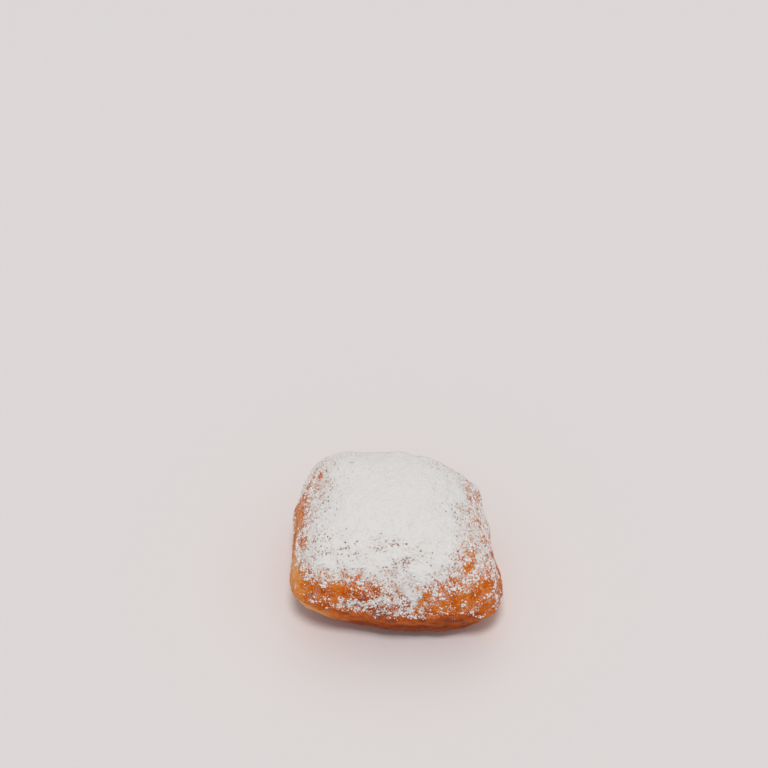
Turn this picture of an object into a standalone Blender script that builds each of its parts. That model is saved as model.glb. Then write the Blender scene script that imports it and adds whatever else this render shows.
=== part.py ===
"""A beignet: a square pillow of fried yeast dough under a bed of icing sugar.

Z is up and the beignet rests on z = 0, sugared face up. Its near edge, the wider one, faces -Y.
"""

import math

import bmesh
import bpy
import numpy as np
from mathutils import Vector, noise

MM = 0.001

# Overall pillow, measured from its waist, which is where it is widest
HALF_WIDTH = 37.0 * MM
HALF_DEPTH = 31.5 * MM
DOME_HEIGHT = 24.5 * MM
BELLY_DEPTH = 16.5 * MM
PLAN_SQUARENESS = 3.9
DOME_SQUARENESS = 2.2
BELLY_SQUARENESS = 2.4
FLAT_SPOT_RISE = 0.7 * MM

# How far each corner of the cut dough was drawn from a true square as it puffed, by the signs of its x and y
CORNER_PULL = {
    (-1, -1): (-1.0 * MM, 4.0 * MM, 1.0 * MM),
    (1, -1): (-1.2 * MM, -0.9 * MM, -3.5 * MM),
    (-1, 1): (4.5 * MM, 3.5 * MM, 0.5 * MM),
    (1, 1): (-11.0 * MM, -4.5 * MM, 1.0 * MM),
}

# Gas pockets and the dimples between them, in mm from the waist's centre: where, how wide, how far out
BULGES_MM = (
    ((34, -20, 1), 9, 0.6),
    ((35, -6, 5), 8, -0.4),
    ((32.5, -3, 0.5), 5, -1.0),
    ((30.5, 7, 1), 5, 1.1),
    ((29.5, 14, 5.5), 4, -1.0),
    ((27, 18, 4), 7, 2.0),
    ((25, 17, 10), 4.5, 1.2),
    ((18, 20.5, 15), 4.5, -0.7),
    ((15, 27, 5), 9, -2.0),
    ((2, 19, 20), 10, 0.9),
    ((-1, 24, 17.5), 5, 0.8),
    ((-26, 26, 6), 8, 1.2),
    ((-31.5, 20.5, 8), 4.5, -1.1),
    ((-34, 12, 1.5), 4, 1.2),
    ((-34, -8, 5), 7, -0.6),
    ((-33, -19, -1), 8, 1.3),
    ((-29, -24, -6), 4.5, -0.6),
    ((-17, -29, -4), 9, -0.8),
    ((-13, -27.5, -10.5), 6, -0.5),
    ((4, -28.5, -11.5), 5, -0.45),
    ((20, -31, -5), 9, -1.1),
    ((24.5, -27, -11), 6, -0.9),
)

# The cut edge: a rim at the waist where the top crust ends, a paler band below it, and the rim of the underside
RIM_HEIGHT, RIM_SPREAD, RIM_RISE = 0.2 * MM, 2.3 * MM, 0.55 * MM
BAND_HEIGHT, BAND_SPREAD, BAND_DIP = -4.6 * MM, 2.6 * MM, 0.80 * MM
FOOT_HEIGHT, FOOT_SPREAD, FOOT_RISE = -9.6 * MM, 2.4 * MM, 0.50 * MM
EDGE_WANDER, EDGE_WANDER_SIZE = 1.6 * MM, 17.0 * MM
EDGE_UNEVENNESS, EDGE_UNEVENNESS_SIZE = 0.6, 13.0 * MM

# Unevenness of the crust
SWELL_SIZE, SWELL_RISE = 21.0 * MM, 0.75 * MM
RIPPLE_SIZE, RIPPLE_RISE = 8.0 * MM, 0.28 * MM
BLISTER_COUNT = 130
BLISTER_RADIUS = (2.6 * MM, 5.4 * MM)
BLISTER_RISE = (0.2 * MM, 0.65 * MM)
BLISTER_SEED = 11

# Icing sugar: a bed on what faces up, breaking into clumps towards the rim
SUGAR_DEPTH = 0.55 * MM
SUGAR_THINS = (0.25, 0.70)
SUGAR_CLUMP_SIZE = 3.6 * MM
SUGAR_CLUMP_SHARE = 0.55

# Faces along the width, the depth and the height of the block that is puffed up
BLOCK_FACES = (36, 34, 18)
BLOCK_HALF_HEIGHT = 16.0 * MM

CRUST_COLOUR = (0.52, 0.19, 0.045, 1.0)


def clear_scene():
    for old in list(bpy.data.objects):
        bpy.data.objects.remove(old)


def smoothstep(low, high, value):
    share = np.clip((value - low) / (high - low), 0.0, 1.0)
    return share * share * (3.0 - 2.0 * share)


def gridded_block():
    """A box cut into a grid of quads along each axis."""
    block = bmesh.new()
    bmesh.ops.create_cube(block, size=2.0)
    half_sizes = (HALF_WIDTH, HALF_DEPTH, BLOCK_HALF_HEIGHT)
    bmesh.ops.scale(block, verts=block.verts, vec=half_sizes)
    for axis, (half_size, faces) in enumerate(zip(half_sizes, BLOCK_FACES)):
        for step in range(1, faces):
            cut_at, normal = Vector(), Vector()
            cut_at[axis] = half_size * (2.0 * step / faces - 1.0)
            normal[axis] = 1.0
            everything = block.verts[:] + block.edges[:] + block.faces[:]
            bmesh.ops.bisect_plane(block, geom=everything, plane_co=cut_at, plane_no=normal)
    return block


def puffed(points):
    """Block points pushed out onto a pillow: a dome above the waist and a squarer belly below."""
    x, y, z = np.abs(points).T
    is_dome = points[:, 2] > 0.0
    height = np.where(is_dome, DOME_HEIGHT, BELLY_DEPTH)
    squareness = np.where(is_dome, DOME_SQUARENESS, BELLY_SQUARENESS)
    plan = (x / HALF_WIDTH) ** PLAN_SQUARENESS + (y / HALF_DEPTH) ** PLAN_SQUARENESS
    reach = plan ** (squareness / PLAN_SQUARENESS) + (z / height) ** squareness
    return points / reach[:, None] ** (1.0 / squareness)[:, None]


def drawn_corners(points):
    """Each corner pulled out of square, and the sides between them drawn along."""
    across, along = points[:, 0] / HALF_WIDTH, points[:, 1] / HALF_DEPTH
    moved = points.copy()
    for (side, end), pull in CORNER_PULL.items():
        share = (1.0 + side * across) * (1.0 + end * along) / 4.0
        moved += share[:, None] * np.array(pull)
    return moved


def bell(distance, spread):
    return np.exp(-((distance / spread) ** 2))


def bulges(points):
    total = np.zeros(len(points))
    for centre_mm, spread_mm, rise_mm in BULGES_MM:
        distance = np.linalg.norm(points - np.array(centre_mm) * MM, axis=1)
        total += rise_mm * MM * bell(distance, spread_mm * MM)
    return total


def cut_edge(points, height):
    """Rim, paler band and foot round the side, by height above the waist before the corners were drawn."""
    wander = EDGE_WANDER * noise_at(points, EDGE_WANDER_SIZE, 3)
    strength = 1.0 + EDGE_UNEVENNESS * noise_at(points, EDGE_UNEVENNESS_SIZE, 4)
    rim = RIM_RISE * bell(height + wander - RIM_HEIGHT, RIM_SPREAD)
    band = BAND_DIP * bell(height + wander - BAND_HEIGHT, BAND_SPREAD)
    foot = FOOT_RISE * bell(height + wander - FOOT_HEIGHT, FOOT_SPREAD)
    return strength * (rim - band + foot)


def noise_at(points, size, seed):
    """Smooth noise between about -1 and 1, whose lumps are about size across."""
    offset = Vector((seed * 7.3, seed * 3.1, seed * 5.7))
    return np.array([noise.noise(Vector(point) / size + offset) for point in points])


def blisters(points, normals):
    """Round blisters of the frying, each on one side of the pillow."""
    draw = np.random.default_rng(BLISTER_SEED)
    total = np.zeros(len(points))
    for seat in draw.choice(len(points), BLISTER_COUNT, replace=False):
        radius = draw.uniform(*BLISTER_RADIUS)
        rise = draw.uniform(*BLISTER_RISE)
        distance = np.linalg.norm(points - points[seat], axis=1)
        same_side = normals @ normals[seat] > 0.3
        dome = np.clip(1.0 - (distance / radius) ** 2, 0.0, None) ** 1.5
        total = np.maximum(total, rise * dome * same_side)
    return total


def sugar_bed(points, normals):
    cover = smoothstep(*SUGAR_THINS, normals[:, 2])
    clumps = noise_at(points, SUGAR_CLUMP_SIZE, 5)
    return SUGAR_DEPTH * cover * (1.0 + SUGAR_CLUMP_SHARE * clumps)


def settled(points):
    """The underside pressed flat where it rests, that flat spot at z = 0 and the box centred over the origin."""
    floor = -BELLY_DEPTH + FLAT_SPOT_RISE
    points = points.copy()
    points[:, 2] = np.maximum(points[:, 2], floor)
    middle = (points.min(axis=0) + points.max(axis=0)) / 2.0
    return points - np.array((middle[0], middle[1], floor))


def set_points(mesh, points):
    mesh.vertices.foreach_set("co", points.astype(np.float32).ravel())
    mesh.update()


def normals_of(mesh):
    normals = np.empty(len(mesh.vertices) * 3, np.float32)
    mesh.vertex_normals.foreach_get("vector", normals)
    return normals.reshape(-1, 3).astype(float)


def crust_material():
    material = bpy.data.materials.new("fried_crust")
    material.use_nodes = True
    shader = material.node_tree.nodes["Principled BSDF"]
    shader.inputs["Base Color"].default_value = CRUST_COLOUR
    shader.inputs["Roughness"].default_value = 0.55
    shader.inputs["Metallic"].default_value = 0.0
    return material


def beignet():
    block = gridded_block()
    mesh = bpy.data.meshes.new("beignet")
    block.to_mesh(mesh)
    block.free()
    grid = np.array([vertex.co for vertex in mesh.vertices])
    pillow = puffed(grid)
    drawn = drawn_corners(pillow)
    set_points(mesh, drawn)
    normals = normals_of(mesh)
    relief = bulges(drawn) + cut_edge(drawn, pillow[:, 2])
    relief += SWELL_RISE * noise_at(drawn, SWELL_SIZE, 1)
    relief += RIPPLE_RISE * noise_at(drawn, RIPPLE_SIZE, 2)
    relief += blisters(drawn, normals) + sugar_bed(drawn, normals)
    set_points(mesh, settled(drawn + normals * relief[:, None]))
    mesh.shade_smooth()
    mesh.set_sharp_from_angle(angle=math.radians(60))
    mesh.materials.append(crust_material())
    made = bpy.data.objects.new("beignet", mesh)
    bpy.context.scene.collection.objects.link(made)
    return made


def main():
    clear_scene()
    beignet()


main()
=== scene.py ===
import math

import bmesh
import bpy
import numpy as np
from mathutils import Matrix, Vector, noise


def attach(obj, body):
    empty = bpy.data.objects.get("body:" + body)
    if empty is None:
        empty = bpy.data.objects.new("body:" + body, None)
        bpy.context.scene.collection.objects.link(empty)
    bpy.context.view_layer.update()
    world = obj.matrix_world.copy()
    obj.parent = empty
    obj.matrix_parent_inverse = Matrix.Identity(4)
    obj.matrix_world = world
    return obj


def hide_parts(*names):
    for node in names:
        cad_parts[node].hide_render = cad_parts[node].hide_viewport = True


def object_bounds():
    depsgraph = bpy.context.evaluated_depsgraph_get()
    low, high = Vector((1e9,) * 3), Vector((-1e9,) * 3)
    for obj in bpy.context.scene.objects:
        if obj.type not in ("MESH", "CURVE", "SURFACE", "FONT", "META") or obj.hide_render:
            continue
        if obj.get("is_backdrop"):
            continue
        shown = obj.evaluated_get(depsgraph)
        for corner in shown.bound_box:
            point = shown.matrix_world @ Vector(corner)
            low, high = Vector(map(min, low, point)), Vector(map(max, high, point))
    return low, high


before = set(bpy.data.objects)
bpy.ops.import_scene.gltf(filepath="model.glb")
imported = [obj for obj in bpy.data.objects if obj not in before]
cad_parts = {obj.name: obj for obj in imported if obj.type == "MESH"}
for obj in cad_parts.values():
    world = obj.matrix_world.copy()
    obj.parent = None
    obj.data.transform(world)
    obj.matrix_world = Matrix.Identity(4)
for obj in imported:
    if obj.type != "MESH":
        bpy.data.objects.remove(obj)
cadLow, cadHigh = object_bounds()
mm = 0.001


def hexColour(code):
    # sRGB hex to the linear colour that the sockets take
    parts = [int(code[i:i + 2], 16) / 255 for i in (1, 3, 5)]
    return [c / 12.92 if c <= 0.04045 else ((c + 0.055) / 1.055) ** 2.4 for c in parts] + [1.0]


fields = {
    "seedShift": np.array((7.31, 3.17, 5.73)),      # keeps the noises of two seeds apart
    "usualSwing": 0.27,             # of one noise about its middle
    "evenness": 1.7,                # turns the crowded middle of a noise into equal shares
    "raggedBy": 2.0 * mm,           # how far the outline of a stroke wanders
    "raggedSize": 2.8 * mm,
    "raggedSeeds": (51, 52, 53),
}


def smooth(low, high, value):
    share = np.clip((value - low) / (high - low), 0.0, 1.0)
    return share * share * (3.0 - 2.0 * share)


def bell(distance, spread):
    return np.exp(-((distance / spread) ** 2))


def noiseAt(points, size, seed):
    # lumps about size across, roughly -0.7 to 0.7
    spots = points / size + seed * fields["seedShift"]
    return np.array([noise.noise(spot) for spot in spots.tolist()])


def spreadEvenly(total, strengths):
    # a sum of noises brought to 0 to 1 in equal shares, so that a share of the surface can be cut by value
    swing = fields["usualSwing"] * np.sqrt(sum(s * s for s in strengths))
    return 1.0 / (1.0 + np.exp(-fields["evenness"] * total / swing))


def nearLines(points, lines):
    # sum of soft-edged strokes with ragged outlines, each from, to (mm), how wide (mm) and how strong
    wander = [noiseAt(points, fields["raggedSize"], seed) for seed in fields["raggedSeeds"]]
    points = points + fields["raggedBy"] * np.column_stack(wander)
    total = np.zeros(len(points))
    for start, end, width, strength in lines:
        a, b = np.array(start) * mm, np.array(end) * mm
        along = np.clip((points - a) @ (b - a) / ((b - a) @ (b - a)), 0.0, 1.0)
        nearest = a + along[:, None] * (b - a)
        total += strength * bell(np.linalg.norm(points - nearest, axis=1), width * mm)
    return total


def pointsOf(mesh):
    points = np.empty(len(mesh.vertices) * 3, np.float32)
    mesh.vertices.foreach_get("co", points)
    return points.reshape(-1, 3).astype(float)


def normalsOf(mesh):
    normals = np.empty(len(mesh.vertices) * 3, np.float32)
    mesh.vertex_normals.foreach_get("vector", normals)
    return normals.reshape(-1, 3).astype(float)


def setPoints(mesh, points):
    mesh.vertices.foreach_set("co", points.astype(np.float32).ravel())
    mesh.update()


def setField(mesh, name, values):
    field = mesh.attributes.new(name, "FLOAT", "POINT")
    field.data.foreach_set("value", values.astype(np.float32))


def meshFrom(name, points, faces):
    # faces all have the same number of corners
    mesh = bpy.data.meshes.new(name)
    count, corners = faces.shape
    mesh.vertices.add(len(points))
    mesh.vertices.foreach_set("co", points.astype(np.float32).ravel())
    mesh.loops.add(count * corners)
    mesh.loops.foreach_set("vertex_index", faces.astype(np.int32).ravel())
    mesh.polygons.add(count)
    mesh.polygons.foreach_set("loop_start", np.arange(0, count * corners, corners, dtype=np.int32))
    mesh.update(calc_edges=True)
    mesh.shade_smooth()
    return mesh


def modified(mesh, kind, **settings):
    # the mesh with one modifier applied
    holder = bpy.data.objects.new("holder", mesh)
    bpy.context.scene.collection.objects.link(holder)
    modifier = holder.modifiers.new("change", kind)
    for name, value in settings.items():
        setattr(modifier, name, value)
    graph = bpy.context.evaluated_depsgraph_get()
    changed = bpy.data.meshes.new_from_object(holder.evaluated_get(graph))
    bpy.data.objects.remove(holder)
    bpy.data.meshes.remove(mesh)
    changed.shade_smooth()
    return changed


def addPiece(name, mesh, material):
    mesh.name = name
    piece = bpy.data.objects.new(name, mesh)
    bpy.context.scene.collection.objects.link(piece)
    mesh.materials.clear()
    mesh.materials.append(material)
    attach(piece, "root")
    mesh.calc_loop_triangles()
    print(name + ":", len(mesh.loop_triangles), "triangles")
    return piece


def addNode(tree, kind, settings=None, values=None, links=None):
    node = tree.nodes.new(kind)
    for name, value in (settings or {}).items():
        setattr(node, name, value)
    for name, value in (values or {}).items():
        node.inputs[name].default_value = value
    for name, socket in (links or {}).items():
        tree.links.new(socket, node.inputs[name])
    return node


def setRamp(node, stops):
    while len(node.color_ramp.elements) < len(stops):
        node.color_ramp.elements.new(0.5)
    for element, (position, code) in zip(node.color_ramp.elements, stops):
        element.position = position
        element.color = hexColour(code)


crust = {
    "levels": 2,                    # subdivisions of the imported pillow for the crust
    "weldWithin": 0.01 * mm,
    "flatEnough": 0.9,              # radians, for two triangles to be one quad again
    "blisterSize": 2.6 * mm,        # fine blisters of the hot fat
    "blisterRise": 0.18 * mm,
    "blisterLack": 1.6,             # the higher, the fewer of them
    "blisterMean": 0.3,
    "raggedSize": 1.1 * mm,         # unevenness of their edges
    "raggedShare": 0.3,
    "pebbleSize": 1.2 * mm,
    "pebbleRise": 0.10 * mm,
    "creaseSize": 4.5 * mm,
    "creaseDepth": 0.10 * mm,
    "creaseWidth": 0.06,            # share of its size
    "flatSpotKeep": 1.2 * mm,       # relief and blisters fade out this close to what it rests on
    "waistHeight": 15.8 * mm,       # of the cut edge, at the middle of the pillow
    "waistCorners": {(-1, -1): 1.0 * mm, (1, -1): -3.5 * mm, (-1, 1): 0.5 * mm, (1, 1): 1.0 * mm},
    "halfWidth": 37.0 * mm,
    "halfDepth": 31.5 * mm,
    # how brown it is, from 0 for pale dough to 1 for the darkest crust, with heights over the waist; in
    # places it also carries painted shade
    "wanderBy": 1.8 * mm,           # how far those heights wander round the sides
    "wanderSize": 15 * mm,
    "browningAndShade": 0.50,
    "patchToast": 0.12,
    "patchSize": 11 * mm,
    "blisterToast": 0.16,
    "rimHeight": 0.6 * mm,          # where the top crust ends
    "rimSpread": 2.0 * mm,
    "rimToast": 0.05,
    "bandHeight": -4.6 * mm,        # the pale band that never lay in the fat
    "bandSpread": 3.6 * mm,
    "bandToast": -0.36,
    # the foot is browner, and darker still as painted shade near the floor
    "footHeights": (-7 * mm, -12 * mm),
    "footToastAndShade": 0.16,
    "mostToasted": 0.84,
    "toastAndPinholeShadeUnderBed": 0.52,          # the face lay longest in the fat, and it is darker still as painted shade at the bottoms of the pinholes
    "bedCover": (0.62, 1.05),       # cover of sugar between which that sets in
    # where it browned more or less, with painted shade on the near side and at the foot: from, to (mm), how
    # wide (mm), how much
    "toastsAndShade": (
        ((-22, -31, 12), (27, -31, 11), 4.5, 0.31),      # near side of the band, well fried, and darker still as painted shade
        ((-26, -29, 7), (28, -29, 6), 4.0, 0.60),        # near foot, browned, and darker still as painted shade where it faces the floor
        ((-34, -20, 13), (-20, -31, 12.5), 4.0, -0.16),  # left end of the band, pale, and paler still as painted light on that side
        ((-5, -31, 17.5), (8, -31.5, 17.5), 2.4, 0.14),  # middle of the near rim
        ((-14, -30.5, 21), (4, -30.5, 22), 3.6, 0.17),
        ((12, -31, 20), (26, -30, 19), 3.5, -0.06),
        ((-34, 10, 24), (-33, -14, 22), 5.0, -0.08),     # left wall
        ((-34, -12, 23), (-32, -22, 20), 4.5, -0.28),    # near left corner
        ((31, -24, 22), (33, -16, 20), 5.0, -0.08),      # near right corner
    ),
    # haze of dust on the skin, by the cover of sugar there
    "dustByCover": ((0.0, 0.3, 0.6, 0.85, 1.1), (0.0, 0.36, 0.74, 0.74, 0.66)),
    "dustKept": 0.55,               # share of the cover that stays as dust where the sugar was brushed off
}


def roundedCopy(levels):
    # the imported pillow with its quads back, subdivided smooth
    form = bmesh.new()
    form.from_mesh(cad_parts["beignet"].data)
    bmesh.ops.remove_doubles(form, verts=form.verts, dist=crust["weldWithin"])
    bmesh.ops.join_triangles(form, faces=form.faces, angle_face_threshold=crust["flatEnough"],
                             angle_shape_threshold=crust["flatEnough"])
    base = bpy.data.meshes.new("pillowBase")
    form.to_mesh(base)
    form.free()
    return modified(base, "SUBSURF", levels=levels, render_levels=levels)


def aboveWaist(points):
    # height over the cut edge, which dips where the near right corner drooped
    across, along = points[:, 0] / crust["halfWidth"], points[:, 1] / crust["halfDepth"]
    waist = np.full(len(points), crust["waistHeight"])
    for (side, end), rise in crust["waistCorners"].items():
        waist += (1.0 + side * across) * (1.0 + end * along) / 4.0 * rise
    return points[:, 2] - waist


def crustRelief(points):
    # how far the skin stands out, and how blistered it is from 0 to 1
    ragged = crust["raggedShare"]
    rough = noiseAt(points, crust["blisterSize"], 21) + ragged * noiseAt(points, crust["raggedSize"], 22)
    blister = np.clip(1.0 - crust["blisterLack"] * spreadEvenly(rough, (1.0, ragged)), 0.0, 1.0)
    crease = np.abs(noiseAt(points, crust["creaseSize"], 25))
    relief = crust["blisterRise"] * blister + crust["pebbleRise"] * noiseAt(points, crust["pebbleSize"], 24)
    relief -= crust["creaseDepth"] * bell(crease, crust["creaseWidth"])
    offTheSpot = smooth(0.0, crust["flatSpotKeep"], points[:, 2])
    return relief * offTheSpot, blister * offTheSpot


def crustBrowningAndShade(points, blister, cover):
    height = aboveWaist(points) + crust["wanderBy"] * noiseAt(points, crust["wanderSize"], 41)
    browningAndShade = crust["browningAndShade"] + crust["patchToast"] * noiseAt(points, crust["patchSize"], 42)
    browningAndShade += crust["blisterToast"] * (blister - crust["blisterMean"])
    browningAndShade += crust["rimToast"] * bell(height - crust["rimHeight"], crust["rimSpread"])
    browningAndShade += crust["bandToast"] * bell(height - crust["bandHeight"], crust["bandSpread"])
    # browner towards the foot, partly as painted shade
    browningAndShade += crust["footToastAndShade"] * smooth(*crust["footHeights"], height)
    browningAndShade = np.minimum(browningAndShade + nearLines(points, crust["toastsAndShade"]), crust["mostToasted"])
    # darkest under the bed: longer in the fat, and painted shade for the bottoms of the pinholes
    return browningAndShade + crust["toastAndPinholeShadeUnderBed"] * smooth(*crust["bedCover"], cover)


sugar = {
    # share of the crust that is covered, by how much it faces up
    "coverByFacing": ((-1.0, -0.3, -0.02, 0.15, 0.35, 0.55, 0.72, 0.88, 1.0),
                      (0.0, 0.0, 0.01, 0.09, 0.24, 0.42, 0.68, 1.00, 1.14)),
    # drifts and bare places: from, to (mm), how wide (mm), how much more or less of it
    "drifts": (
        ((-34, 12, 24), (-33.5, 1, 26), 4.0, -0.56),           # left wall, brushed clean
        ((-34.5, 2, 23), (-34, -18, 21), 3.6, -0.60),
        ((-29, 20, 28), (-26, 26, 28), 3.2, 0.34),             # far left corner
        ((-29, 14, 29.5), (-28.5, 2, 31.5), 3.5, -0.28),       # left shoulder
        ((-24.5, 18, 33), (-24, 6, 35), 4.5, -0.22),
        ((-34, -17, 20), (-31, -25, 18.5), 3.0, -0.25),        # near left corner, bare
        ((-30, -3, 30), (-30.5, -11, 30), 2.5, -0.34),
        ((-32, -15, 28), (-27, -19.5, 29.5), 3.0, 0.16),       # heavy patch on the near left shoulder
        ((-20, -21.5, 31.5), (-8, -23, 32), 3.0, 0.17),
        ((-8, -22, 33), (4, -22, 34), 3.0, 0.14),
        ((-30, -23, 22), (-18, -28, 24), 3.2, -0.36),          # orange bare strip of the near fringe
        ((-19, -27, 25), (-9, -28, 25), 2.4, -0.26),
        ((-13, -27, 27.5), (-8.5, -27.5, 27.5), 2.2, -0.18),
        ((-17, -29.5, 21.5), (-10, -30.3, 20), 1.9, 0.90),     # clumps under it
        ((-6, -27, 28), (4, -28, 26), 4.0, 0.31),              # middle of the near fringe
        ((-7, -30, 22), (-1, -31, 22), 2.0, 0.32),
        ((3, -26.5, 29), (9, -25.5, 30), 2.6, 0.16),
        ((5.6, -29.3, 25.2), (5.3, -31, 19.5), 1.5, 0.80),     # tongue that slid down
        ((8, -25, 31), (17, -24, 32), 3.2, 0.30),
        ((14, -29, 23), (22, -29, 22), 2.6, -0.18),
        ((18, -27, 28.5), (25, -26.5, 27.5), 2.5, -0.18),
        ((24, 5, 31), (23, -16, 32), 4.5, -0.35),              # speckled right side of the face
        ((22, -22, 32), (27, -27, 24), 5.0, -0.34),            # bare orange near right corner
        ((22.5, -16, 33.5), (24, -20, 32), 2.2, -0.22),
        ((28, -21, 28.5), (29.5, -26.5, 23), 2.6, -0.26),
        ((30, -2, 26.5), (32, -18, 25), 3.5, -0.20),           # right wall
        ((29.5, -5, 26.5), (31, -16, 26.3), 1.1, 0.40),        # ridge down the right edge
        ((31, -16, 26.3), (32.5, -23, 21), 1.1, 0.36),
        ((33.5, -6, 22), (34.5, -22, 19), 2.5, -0.42),         # bare below it
        ((20, 6, 34), (25, 3, 31), 3.5, 0.45),                 # right shoulder
        ((29, 12, 22), (28.5, 1, 25.5), 2.6, 0.14),
        ((33, -12, 24.5), (34.5, -20, 19.5), 1.6, -0.30),
    ),
    # where small round holes prick the bed: from, to (mm), how wide (mm), how likely
    "pricks": (
        ((-23, 16, 34), (-23, -9, 35), 4.5, 1.0),
        ((-22, 17, 34), (-13, 12, 38), 4.5, 1.0),
        ((16, 0, 36), (24, -10, 31), 4.0, 0.9),
        ((20, 12, 33), (27, 8, 28), 3.0, 0.6),
        ((-26, -15, 33), (-15, -18.5, 34.5), 3.6, 0.70),
        ((-15, -15, 36), (12, -18, 35), 5.0, 0.22),
    ),
    "leastPricks": 0.12,            # no holes where they are less likely than this
    "holes": 330,
    "holeRadius": (0.19 * mm, 0.34 * mm),
    "holeEdge": (1.3, 0.7),         # its slope, in radii from its middle
    "holeDepth": (0.58, 1.0),       # 1 is down to the crust
    "holePull": 0.2,                # cover that is lacking in the middle of a full hole
    # sizes and strengths of the gaps in the powder
    "lacePattern": ((0.70 * mm, 1.0), (0.32 * mm, 0.5), (3.2 * mm, 0.5)),
    "streakSize": 0.9 * mm,         # trails where powder slid down the slopes
    "streakLength": 4.5,            # times as long as wide
    "streakStrength": 0.8,
    "streakFacing": (0.80, 0.45),   # how much the crust faces up at no trails and at full ones
    "reach": 33 * mm,               # from the middle to the slopes
    "bedDepth": 0.38 * mm,
    "filmDepth": 0.08 * mm,
    "deepCover": (0.4, 1.0),        # cover where the film ends and where the bed is full
    "gritDepth": 0.03 * mm,
    "heapShare": 0.16,              # how fast it deepens in from an edge
    "ripples": ((0.6 * mm, 0.035 * mm), (2.6 * mm, 0.06 * mm)),    # sizes and heights
    "rippleFrom": (0.1, 0.5),       # they are drawn on thick powder alone
    "hideDepth": 0.25 * mm,         # where there is none it dives into the crust this deep
    "hideSlope": 1.6 * mm,          # of that dive, for each whole cover that is lacking
    "lowestFacing": -0.15,          # no powder on what faces down more than this
    "leastCover": 0.01,
    "edgeKept": 0.01 * mm,          # faces deeper than this in the crust are left out
    "levels": 4,                    # subdivisions of the pillow under it, about 0.12 mm
    "bedFrom": 0.78,                # share of cover where the closed bed begins
    "overlap": 0.03,
    "tuck": 0.04 * mm,              # of the broken powder under the edge of the bed
    "triangles": 196000,            # in the bed, and as many in the broken powder round it
    "seed": 5,
}


def sugarCover(points, normals):
    return np.interp(normals[:, 2], *sugar["coverByFacing"]) + nearLines(points, sugar["drifts"])


def pricked(points):
    # from 0 away from the small holes to the depth of each in its middle
    chance = np.clip(nearLines(points, sugar["pricks"]), 0.0, None)
    near = np.flatnonzero(chance > sugar["leastPricks"])
    draw = np.random.default_rng(sugar["seed"])
    seats = draw.choice(near, sugar["holes"], p=chance[near] / chance[near].sum())
    radii = draw.uniform(*sugar["holeRadius"], sugar["holes"])
    depths = draw.uniform(*sugar["holeDepth"], sugar["holes"])
    outer, inner = sugar["holeEdge"]
    deep = np.zeros(len(points))
    for seat, radius, depth in zip(seats, radii, depths):
        distance = np.linalg.norm(points[near] - points[seat], axis=1)
        deep[near] = np.maximum(deep[near], depth * smooth(outer * radius, inner * radius, distance))
    return deep


def powderGaps(points, normals):
    # from 0 where the powder stays longest to 1 where it is missing first
    gaps, strengths = 0.0, []
    for seed, (size, strength) in enumerate(sugar["lacePattern"], 31):
        gaps = gaps + strength * noiseAt(points, size, seed)
        strengths.append(strength)
    inward = sugar["reach"] / (np.hypot(points[:, 0], points[:, 1]) + mm)
    downward = np.full(len(points), 1.0 / sugar["streakLength"])
    drawnOut = points * np.column_stack((inward, inward, downward))
    streak = sugar["streakStrength"] * smooth(*sugar["streakFacing"], normals[:, 2])
    gaps = gaps + streak * noiseAt(drawnOut, sugar["streakSize"], 34)
    return spreadEvenly(gaps, strengths + [streak])


def sugarHeight(points, normals, cover):
    # how high the powder stands over the crust; below zero there is none
    over = cover - powderGaps(points, normals)
    over = over - (sugar["holePull"] + np.clip(over, 0.0, None)) * pricked(points)
    film = sugar["filmDepth"]
    depth = film + (sugar["bedDepth"] - film) * smooth(*sugar["deepCover"], cover)
    heaped = depth * (1.0 - np.exp(-np.clip(over, 0.0, None) / sugar["heapShare"]))
    (fineSize, fineRise), (broadSize, broadRise) = sugar["ripples"]
    ripple = fineRise * noiseAt(points, fineSize, 35) + broadRise * noiseAt(points, broadSize, 36)
    hidden = np.maximum(over * sugar["hideSlope"], -sugar["hideDepth"])
    return np.where(over > 0.0, heaped + ripple * smooth(*sugar["rippleFrom"], over), hidden)


friedSkin = {
    # pale dough, golden, orange brown, deep brown, and the darkest crust under the bed, partly painted shade
    # in the pinholes
    "browns": ((0.0, "#F4B577"), (0.25, "#E89848"), (0.5, "#DC6F0B"), (0.72, "#B54D05"),
               (0.88, "#86380A"), (1.0, "#4C2814")),
    "blotchSize": 6 * mm,           # from the uneven heat
    "freckleSize": 0.8 * mm,
    "markSize": 0.7 * mm,           # stretch marks round the sides
    "markStretch": (0.14, 0.14, 1.0),
    "sways": {"blotch": 0.22, "freckle": 0.44, "mark": 0.18},      # how far each changes the browning
    "poreSize": 0.6 * mm,
    "poreEdge": (0.08, 0.36),
    "poreToast": 0.14,
    # specks of dust, drawn coarser than real ones so that they show, and the patches that they gather in
    "dustColour": "#EFE9E4",
    "dustSize": 0.3 * mm,
    "dustPatch": 1.3 * mm,
    "dustLack": (-0.85, 1.50),      # times the dust, and with none at all
    "dustEdge": 0.22,
    "dustMost": 0.92,
    "roughness": (0.42, 0.95),      # bare skin, dusted skin
    "grainSize": 0.25 * mm,
    "markRise": 0.8,                # against the grain
    "poreDepth": -0.8,
    "bumpDepth": 0.16 * mm,
    "bumpStrength": 0.6,
}


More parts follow.
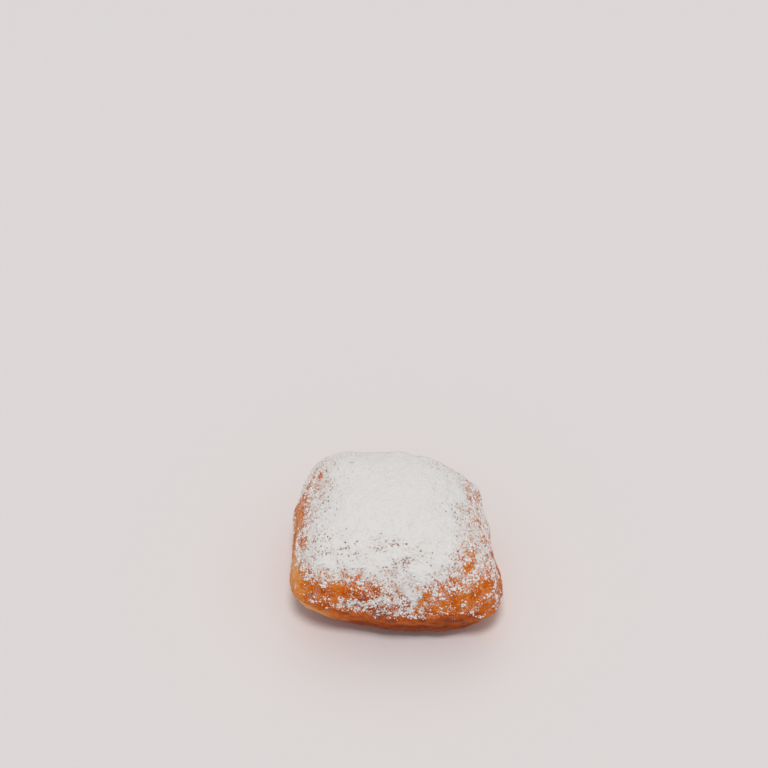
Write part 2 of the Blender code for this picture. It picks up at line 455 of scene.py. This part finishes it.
# fried yeast dough: a smooth thin skin, browned by hot fat and a little oily, so it shines softly,
# and light seeps a little way into it
def friedCrust():
    material = bpy.data.materials.new("friedYeastDoughCrust")
    material.use_nodes = True
    tree = material.node_tree
    shader = tree.nodes["Principled BSDF"]
    skin = friedSkin
    place = addNode(tree, "ShaderNodeTexCoord").outputs["Object"]
    # browning of the crust, which also carries painted shade at the near side, the foot and the pinholes
    browningAndShade = addNode(tree, "ShaderNodeAttribute", {"attribute_name": "browningAndShade"}).outputs["Fac"]
    dust = addNode(tree, "ShaderNodeAttribute", {"attribute_name": "dust"}).outputs["Fac"]
    blotch = addNode(tree, "ShaderNodeTexNoise", None,
                     {"Scale": 1 / skin["blotchSize"], "Detail": 4.0, "Roughness": 0.6},
                     {"Vector": place}).outputs["Fac"]
    freckle = addNode(tree, "ShaderNodeTexNoise", None,
                      {"Scale": 1 / skin["freckleSize"], "Detail": 3.0, "Roughness": 0.65},
                      {"Vector": place}).outputs["Fac"]
    drawnOut = addNode(tree, "ShaderNodeVectorMath", {"operation": "MULTIPLY"},
                       {1: skin["markStretch"]}, {0: place}).outputs[0]
    mark = addNode(tree, "ShaderNodeTexNoise", None,
                   {"Scale": 1 / skin["markSize"], "Detail": 3.0, "Roughness": 0.6},
                   {"Vector": drawnOut}).outputs["Fac"]
    pore = addNode(tree, "ShaderNodeTexVoronoi", None, {"Scale": 1 / skin["poreSize"]},
                   {"Vector": place}).outputs["Distance"]
    pit = addNode(tree, "ShaderNodeMapRange", {"interpolation_type": "SMOOTHSTEP"},
                  {"From Min": skin["poreEdge"][0], "From Max": skin["poreEdge"][1],
                   "To Min": 1.0, "To Max": 0.0}, {"Value": pore}).outputs[0]
    baked = browningAndShade
    for source, pattern in ((blotch, "blotch"), (freckle, "freckle"), (mark, "mark")):
        sway = skin["sways"][pattern]
        swing = addNode(tree, "ShaderNodeMath", {"operation": "MULTIPLY_ADD"},
                        {1: sway, 2: -sway / 2}, {0: source}).outputs[0]
        baked = addNode(tree, "ShaderNodeMath", {"operation": "ADD"}, None, {0: baked, 1: swing}).outputs[0]
    baked = addNode(tree, "ShaderNodeMath", {"operation": "MULTIPLY_ADD"},
                    {1: skin["poreToast"]}, {0: pit, 2: baked}).outputs[0]
    brown = addNode(tree, "ShaderNodeValToRGB", None, None, {"Fac": baked})
    setRamp(brown, skin["browns"])
    # thin haze of sugar dust over the brown
    fine = addNode(tree, "ShaderNodeTexNoise", None,
                   {"Scale": 1 / skin["dustSize"], "Detail": 2.0, "Roughness": 0.7},
                   {"Vector": place}).outputs["Fac"]
    clotted = addNode(tree, "ShaderNodeTexNoise", None,
                      {"Scale": 1 / skin["dustPatch"], "Detail": 3.0, "Roughness": 0.6},
                      {"Vector": place}).outputs["Fac"]
    both = addNode(tree, "ShaderNodeMath", {"operation": "ADD"}, None, {0: fine, 1: clotted}).outputs[0]
    lack = addNode(tree, "ShaderNodeMath", {"operation": "MULTIPLY_ADD"},
                   {1: skin["dustLack"][0], 2: skin["dustLack"][1]}, {0: dust}).outputs[0]
    haze = addNode(tree, "ShaderNodeMath", {"operation": "SUBTRACT"}, None, {0: both, 1: lack}).outputs[0]
    haze = addNode(tree, "ShaderNodeMapRange", {"interpolation_type": "SMOOTHSTEP"},
                   {"From Min": 0.0, "From Max": skin["dustEdge"], "To Min": 0.0, "To Max": skin["dustMost"]},
                   {"Value": haze}).outputs[0]
    # 6 and 7 are the colour sockets of the mix, and 2 is its colour output
    dusted = addNode(tree, "ShaderNodeMix", {"data_type": "RGBA"}, {7: hexColour(skin["dustColour"])},
                     {0: haze, 6: brown.outputs["Color"]}).outputs[2]
    tree.links.new(dusted, shader.inputs["Base Color"])
    rough = addNode(tree, "ShaderNodeMapRange", None,
                    {"To Min": skin["roughness"][0], "To Max": skin["roughness"][1]},
                    {"Value": haze}).outputs[0]
    tree.links.new(rough, shader.inputs["Roughness"])
    # fine grain of the skin and of the dust, with the stretch marks raised and the pores sunk
    grain = addNode(tree, "ShaderNodeTexNoise", None,
                    {"Scale": 1 / skin["grainSize"], "Detail": 3.0, "Roughness": 0.6},
                    {"Vector": place}).outputs["Fac"]
    raised = addNode(tree, "ShaderNodeMath", {"operation": "ADD"}, None, {0: grain, 1: haze}).outputs[0]
    for source, rise in ((mark, skin["markRise"]), (pit, skin["poreDepth"])):
        raised = addNode(tree, "ShaderNodeMath", {"operation": "MULTIPLY_ADD"},
                         {1: rise}, {0: source, 2: raised}).outputs[0]
    bump = addNode(tree, "ShaderNodeBump", None,
                   {"Strength": skin["bumpStrength"], "Distance": skin["bumpDepth"]}, {"Height": raised})
    tree.links.new(bump.outputs["Normal"], shader.inputs["Normal"])
    shader.inputs["IOR"].default_value = 1.47
    shader.inputs["Specular IOR Level"].default_value = 0.10
    shader.inputs["Subsurface Weight"].default_value = 0.12
    shader.inputs["Subsurface Radius"].default_value = (1.0, 0.35, 0.1)
    shader.inputs["Subsurface Scale"].default_value = 1.0 * mm
    return material


siftedPowder = {
    # from the thinnest film, tinted by the crust under it, to the deep bed, whose white is a little greyer
    # than the loose lumps as painted shade on the well-lit face
    "whites": ((0.0, "#CFAE96"), (0.14, "#DFCFC4"), (0.4, "#E8E4E1"), (1.0, "#EEECEA")),
    "driftSize": 1.6 * mm,          # it lies unevenly, in drifts and in specks
    "driftSway": 0.45,
    "speckSize": 0.25 * mm,
    "speckSway": 0.35,
    "grainSize": 0.12 * mm,         # real grains are finer, but would not show
    "crumbSize": 0.45 * mm,
    "bumpDepth": 0.12 * mm,
    "bumpStrength": 0.6,
}


# icing sugar sifted on: a dead matt, very white powder, whose thin places let the crust tint it
def siftedSugar():
    material = bpy.data.materials.new("siftedIcingSugar")
    material.use_nodes = True
    tree = material.node_tree
    shader = tree.nodes["Principled BSDF"]
    bed = siftedPowder
    place = addNode(tree, "ShaderNodeTexCoord").outputs["Object"]
    depth = addNode(tree, "ShaderNodeAttribute", {"attribute_name": "depth"}).outputs["Fac"]
    drift = addNode(tree, "ShaderNodeTexNoise", None,
                    {"Scale": 1 / bed["driftSize"], "Detail": 5.0, "Roughness": 0.65},
                    {"Vector": place}).outputs["Fac"]
    speck = addNode(tree, "ShaderNodeTexNoise", None,
                    {"Scale": 1 / bed["speckSize"], "Detail": 2.0, "Roughness": 0.6},
                    {"Vector": place}).outputs["Fac"]
    thick = depth
    for source, sway in ((drift, bed["driftSway"]), (speck, bed["speckSway"])):
        swing = addNode(tree, "ShaderNodeMath", {"operation": "MULTIPLY_ADD"},
                        {1: sway, 2: -sway / 2}, {0: source}).outputs[0]
        thick = addNode(tree, "ShaderNodeMath", {"operation": "ADD"}, None, {0: thick, 1: swing}).outputs[0]
    white = addNode(tree, "ShaderNodeValToRGB", None, None, {"Fac": thick})
    setRamp(white, bed["whites"])
    tree.links.new(white.outputs["Color"], shader.inputs["Base Color"])
    grain = addNode(tree, "ShaderNodeTexNoise", None,
                    {"Scale": 1 / bed["grainSize"], "Detail": 2.0, "Roughness": 0.6},
                    {"Vector": place}).outputs["Fac"]
    crumb = addNode(tree, "ShaderNodeTexNoise", None, {"Scale": 1 / bed["crumbSize"], "Detail": 2.0},
                    {"Vector": place}).outputs["Fac"]
    both = addNode(tree, "ShaderNodeMath", {"operation": "ADD"}, None, {0: grain, 1: crumb}).outputs[0]
    bump = addNode(tree, "ShaderNodeBump", None,
                   {"Strength": bed["bumpStrength"], "Distance": bed["bumpDepth"]}, {"Height": both})
    tree.links.new(bump.outputs["Normal"], shader.inputs["Normal"])
    shader.inputs["Roughness"].default_value = 0.95
    shader.inputs["Specular IOR Level"].default_value = 0.2
    shader.inputs["Subsurface Weight"].default_value = 0.1
    shader.inputs["Subsurface Radius"].default_value = (1.0, 0.9, 0.8)
    shader.inputs["Subsurface Scale"].default_value = 0.4 * mm
    return material


loosePowder = {
    # whiter than the bed, partly as painted light
    "whites": ((0.25, "#EDE6E0"), (0.7, "#FAF9F8")),
    "shadeSize": 0.8 * mm,
    "grainSize": 0.1 * mm,          # real grains are finer, but would not show
    "bumpDepth": 0.08 * mm,
    "bumpStrength": 0.5,
}


# icing sugar in loose lumps, as it falls from the sieve: matt, and the whitest of all, partly as painted
# light so that lumps on the dimmer slopes show bright
def looseSugar():
    material = bpy.data.materials.new("looseIcingSugar")
    material.use_nodes = True
    tree = material.node_tree
    shader = tree.nodes["Principled BSDF"]
    loose = loosePowder
    place = addNode(tree, "ShaderNodeTexCoord").outputs["Object"]
    shade = addNode(tree, "ShaderNodeTexNoise", None, {"Scale": 1 / loose["shadeSize"], "Detail": 3.0},
                    {"Vector": place}).outputs["Fac"]
    white = addNode(tree, "ShaderNodeValToRGB", None, None, {"Fac": shade})
    setRamp(white, loose["whites"])
    tree.links.new(white.outputs["Color"], shader.inputs["Base Color"])
    grain = addNode(tree, "ShaderNodeTexNoise", None, {"Scale": 1 / loose["grainSize"], "Detail": 2.0},
                    {"Vector": place}).outputs["Fac"]
    bump = addNode(tree, "ShaderNodeBump", None,
                   {"Strength": loose["bumpStrength"], "Distance": loose["bumpDepth"]}, {"Height": grain})
    tree.links.new(bump.outputs["Normal"], shader.inputs["Normal"])
    shader.inputs["Roughness"].default_value = 0.95
    shader.inputs["Specular IOR Level"].default_value = 0.2
    return material


def makeCrust():
    mesh = roundedCopy(crust["levels"])
    points, normals = pointsOf(mesh), normalsOf(mesh)
    relief, blister = crustRelief(points)
    cover = sugarCover(points, normals)
    lifted = points + normals * relief[:, None]
    lifted[:, 2] = np.maximum(lifted[:, 2], 0.0)
    setPoints(mesh, lifted)
    # browning, with painted shade in places
    setField(mesh, "browningAndShade", crustBrowningAndShade(points, blister, cover))
    kept = crust["dustKept"] * np.interp(normals[:, 2], *sugar["coverByFacing"])
    setField(mesh, "dust", np.interp(np.maximum(cover, kept), *crust["dustByCover"]))
    piece = addPiece("beignet_crust", mesh, friedCrust())
    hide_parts("beignet")
    return piece


def makePowder(material):
    # a skin of powder over the crust: a closed bed where it faces up, and broken powder round that
    mesh = roundedCopy(sugar["levels"])
    points, normals = pointsOf(mesh), normalsOf(mesh)
    faces = np.empty(len(mesh.loops), np.int32)
    mesh.loops.foreach_get("vertex_index", faces)
    faces = faces.reshape(-1, 4)
    bpy.data.meshes.remove(mesh)
    faces = faces[normals[faces, 2].max(axis=1) > sugar["lowestFacing"]]
    used, faces = np.unique(faces, return_inverse=True)
    points, normals, faces = points[used], normals[used], faces.reshape(-1, 4)
    cover = sugarCover(points, normals)
    height = np.full(len(points), -sugar["hideDepth"])
    some = cover > sugar["leastCover"]
    height[some] = sugarHeight(points[some], normals[some], cover[some])
    relief, _ = crustRelief(points)
    lifted = points + normals * (relief + height)[:, None]
    shown = height[faces].max(axis=1) > -sugar["edgeKept"]
    bedEdge, laceEdge = sugar["bedFrom"], sugar["bedFrom"] + sugar["overlap"]
    draw = np.random.default_rng(sugar["seed"])
    for name, part in (("sugar_bed", cover[faces].max(axis=1) > bedEdge),
                       ("sugar_lace", cover[faces].min(axis=1) < laceEdge)):
        kept, corners = np.unique(faces[part & shown], return_inverse=True)
        corners = corners.reshape(-1, 4)
        place = lifted[kept]
        if name == "sugar_lace":
            # its inner edge is tucked under the bed
            under = smooth(bedEdge, laceEdge, cover[kept])
            place = place - normals[kept] * sugar["tuck"] * under[:, None]
        powder = meshFrom(name, place, corners)
        setField(powder, "depth", np.clip(height[kept] / sugar["bedDepth"], 0.0, 1.0))
        drawn = 2 * len(corners)
        print(name, "drawn with", drawn, "triangles")
        powder = modified(powder, "DECIMATE", ratio=min(1.0, sugar["triangles"] / drawn))
        grit = sugar["gritDepth"] * draw.uniform(-1.0, 1.0, len(powder.vertices))
        setPoints(powder, pointsOf(powder) + grit[:, None] * normalsOf(powder))
        addPiece(name, powder, material)


strewn = {
    "gatherEdge": (-0.25, 0.35),    # of a noise, between sparse and gathered
    "sparse": 0.12,                 # share of them that lie apart
    "facing": (-0.1, 0.25),         # how much the crust faces up between none and all of them
    "swell": (0.6, 1.3),            # how far each corner stands out, in radii
    "stretch": (0.6, 1.4),
    "standing": 0.35,               # how far the middle stands over the crust, in half heights
}
lumps = {
    "count": 9800,
    "corners": 12,                  # of each lump: an icosahedron
    "radius": (0.12 * mm, 0.50 * mm),
    "fewLarge": 2.4,                # the higher, the fewer of the large ones
    "flatness": 0.65,
    "gatherSize": 2.4 * mm,
    "coverShares": ((-0.2, 0.02, 0.12, 0.35, 0.6, 0.85, 1.1), (0.0, 0.04, 0.5, 1.0, 0.8, 0.25, 0.02)),
    "seed": 7,
}
grains = {
    "count": 24000,
    "corners": 6,                   # an octahedron
    "radius": (0.05 * mm, 0.17 * mm),       # clotted grains: single ones are finer still
    "fewLarge": 1.7,
    "flatness": 0.9,
    "gatherSize": 2.0 * mm,
    "coverShares": ((-0.4, -0.2, 0.04, 0.15, 0.4, 0.8, 1.1), (0.0, 0.25, 0.6, 1.0, 0.9, 0.4, 0.10)),
    "seed": 8,
}


def smallBall(corners):
    ball = bmesh.new()
    if corners == 12:
        bmesh.ops.create_icosphere(ball, subdivisions=1, radius=1.0)
    else:
        bmesh.ops.create_uvsphere(ball, u_segments=4, v_segments=2, radius=1.0)
    shape = np.array([vertex.co for vertex in ball.verts])
    faces = np.array([[vertex.index for vertex in face.verts] for face in ball.faces])
    ball.free()
    return shape, faces


def strewnSeats(facts, carrier, draw):
    # places on the crust, and which way is out there, gathered where the powder is neither thick nor missing
    count = facts["count"]
    corners = np.empty(len(carrier.loop_triangles) * 3, np.int32)
    carrier.loop_triangles.foreach_get("vertices", corners)
    corners = corners.reshape(-1, 3)
    points, normals = pointsOf(carrier), normalsOf(carrier)
    a, b, c = (points[corners[:, i]] for i in range(3))
    area = np.linalg.norm(np.cross(b - a, c - a), axis=1) / 2.0
    centres = (a + b + c) / 3.0
    facing = normals[corners].mean(axis=1)
    gather = smooth(*strewn["gatherEdge"], noiseAt(centres, facts["gatherSize"], facts["seed"]))
    chance = area * np.interp(sugarCover(centres, facing), *facts["coverShares"])
    chance = chance * (strewn["sparse"] + gather) * smooth(*strewn["facing"], facing[:, 2])
    seats = draw.choice(len(corners), count, p=chance / chance.sum())
    u, v = draw.random((2, count))
    flip = u + v > 1.0
    u, v = np.where(flip, 1.0 - u, u), np.where(flip, 1.0 - v, v)
    at = a[seats] + u[:, None] * (b - a)[seats] + v[:, None] * (c - a)[seats]
    return at, facing[seats] / np.linalg.norm(facing[seats], axis=1)[:, None]


def makeScatter(name, facts, carrier, material):
    # small bodies strewn on the crust, each one uneven
    count, flatness = facts["count"], facts["flatness"]
    draw = np.random.default_rng(facts["seed"])
    at, up = strewnSeats(facts, carrier, draw)
    shape, shapeFaces = smallBall(facts["corners"])
    low, high = facts["radius"]
    radius = low + (high - low) * draw.random(count) ** facts["fewLarge"]
    swell = draw.uniform(*strewn["swell"], (count, len(shape)))
    side = np.cross(up, draw.normal(size=(count, 3)))
    side /= np.linalg.norm(side, axis=1)[:, None]
    other = np.cross(up, side)
    stretch = draw.uniform(*strewn["stretch"], count)
    local = shape[None] * swell[:, :, None] * radius[:, None, None]
    x, y, z = local[:, :, 0] * stretch[:, None], local[:, :, 1] / stretch[:, None], local[:, :, 2] * flatness
    body = x[:, :, None] * side[:, None] + y[:, :, None] * other[:, None] + z[:, :, None] * up[:, None]
    body += (at + up * (strewn["standing"] * flatness * radius)[:, None])[:, None]
    body[:, :, 2] = np.maximum(body[:, :, 2], 0.0)
    faces = shapeFaces[None] + (np.arange(count) * len(shape))[:, None, None]
    scattered = meshFrom(name, body.reshape(-1, 3), faces.reshape(-1, 3))
    return addPiece(name, scattered, material)


room = {
    "floorColour": "#EBE7E6",
    "floorRoughness": 0.7,
    "floorSize": 24.0,
    "worldColour": "#F2F0F0",
    "worldStrength": 0.46,
}
lamps = (
    # large soft boxes, far off: name, where from, how many degrees wide they look, strength, colour
    ("softBoxBehind", (0.05, 0.75, 1.15), 40, 0.17, "#FFFFFF"),
    ("softBoxAbove", (0.00, -0.42, 1.30), 15, 1.35, "#FFFFFF"),
)
cameraFacts = {
    "lens": 100.0,
    "sensor": 36.0,
    "distance": 0.717,
    "elevation": 50.0,              # degrees over the face
    "target": (0.0, 0.0, 0.017),
    "drop": 158.0,                  # pixels of the 768 frame that the object sits under the middle
    "slide": (-0.0040, -0.0005),    # metres right and up of the camera
    "frame": 768,
}


def makeRoom():
    floorMesh = bpy.data.meshes.new("floor")
    half = room["floorSize"] / 2
    corners = [(-half, -half, 0), (half, -half, 0), (half, half, 0), (-half, half, 0)]
    floorMesh.from_pydata(corners, [], [(0, 1, 2, 3)])
    floor = bpy.data.objects.new("floor", floorMesh)
    bpy.context.scene.collection.objects.link(floor)
    paint = bpy.data.materials.new("paleTable")
    paint.use_nodes = True
    shader = paint.node_tree.nodes["Principled BSDF"]
    shader.inputs["Base Color"].default_value = hexColour(room["floorColour"])
    shader.inputs["Roughness"].default_value = room["floorRoughness"]
    floorMesh.materials.append(paint)
    floor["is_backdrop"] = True
    world = bpy.data.worlds.new("softRoom")
    world.use_nodes = True
    sky = world.node_tree.nodes["Background"]
    sky.inputs["Color"].default_value = hexColour(room["worldColour"])
    sky.inputs["Strength"].default_value = room["worldStrength"]
    bpy.context.scene.world = world
    for name, place, width, strength, colour in lamps:
        light = bpy.data.lights.new(name, "SUN")
        light.angle, light.energy = math.radians(width), strength
        light.color = hexColour(colour)[:3]
        lamp = bpy.data.objects.new(name, light)
        lamp.location = place
        lamp.rotation_euler = (-Vector(place)).to_track_quat("-Z", "Y").to_euler()
        bpy.context.scene.collection.objects.link(lamp)
    bpy.context.scene.view_settings.view_transform = "Standard"
    print("room and lamps set")


def makeCamera():
    facts = cameraFacts
    data = bpy.data.cameras.new("photoCamera")
    data.lens, data.sensor_width = facts["lens"], facts["sensor"]
    focal = facts["lens"] / facts["sensor"] * facts["frame"]
    elevation = math.radians(facts["elevation"])
    pitch = elevation - math.atan(facts["drop"] / focal)
    up = Vector((0.0, math.sin(pitch), math.cos(pitch)))
    back = Vector((0.0, -math.cos(elevation), math.sin(elevation)))
    camera = bpy.data.objects.new("photoCamera", data)
    slide = Vector((facts["slide"][0], 0.0, 0.0)) + facts["slide"][1] * up
    camera.location = Vector(facts["target"]) + facts["distance"] * back + slide
    camera.rotation_euler = (math.pi / 2 - pitch, 0.0, 0.0)
    bpy.context.scene.collection.objects.link(camera)
    bpy.context.scene.camera = camera
    print("camera set")


def main():
    makeRoom()
    makeCamera()
    crustPiece = makeCrust()
    makePowder(siftedSugar())
    looseFinish = looseSugar()
    makeScatter("sugar_lumps", lumps, crustPiece.data, looseFinish)
    makeScatter("sugar_grains", grains, crustPiece.data, looseFinish)
    low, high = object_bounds()
    for name, box in (("cad", cadHigh - cadLow), ("visual", high - low)):
        print(name, "box in mm", [round(x * 1000, 1) for x in box])


main()
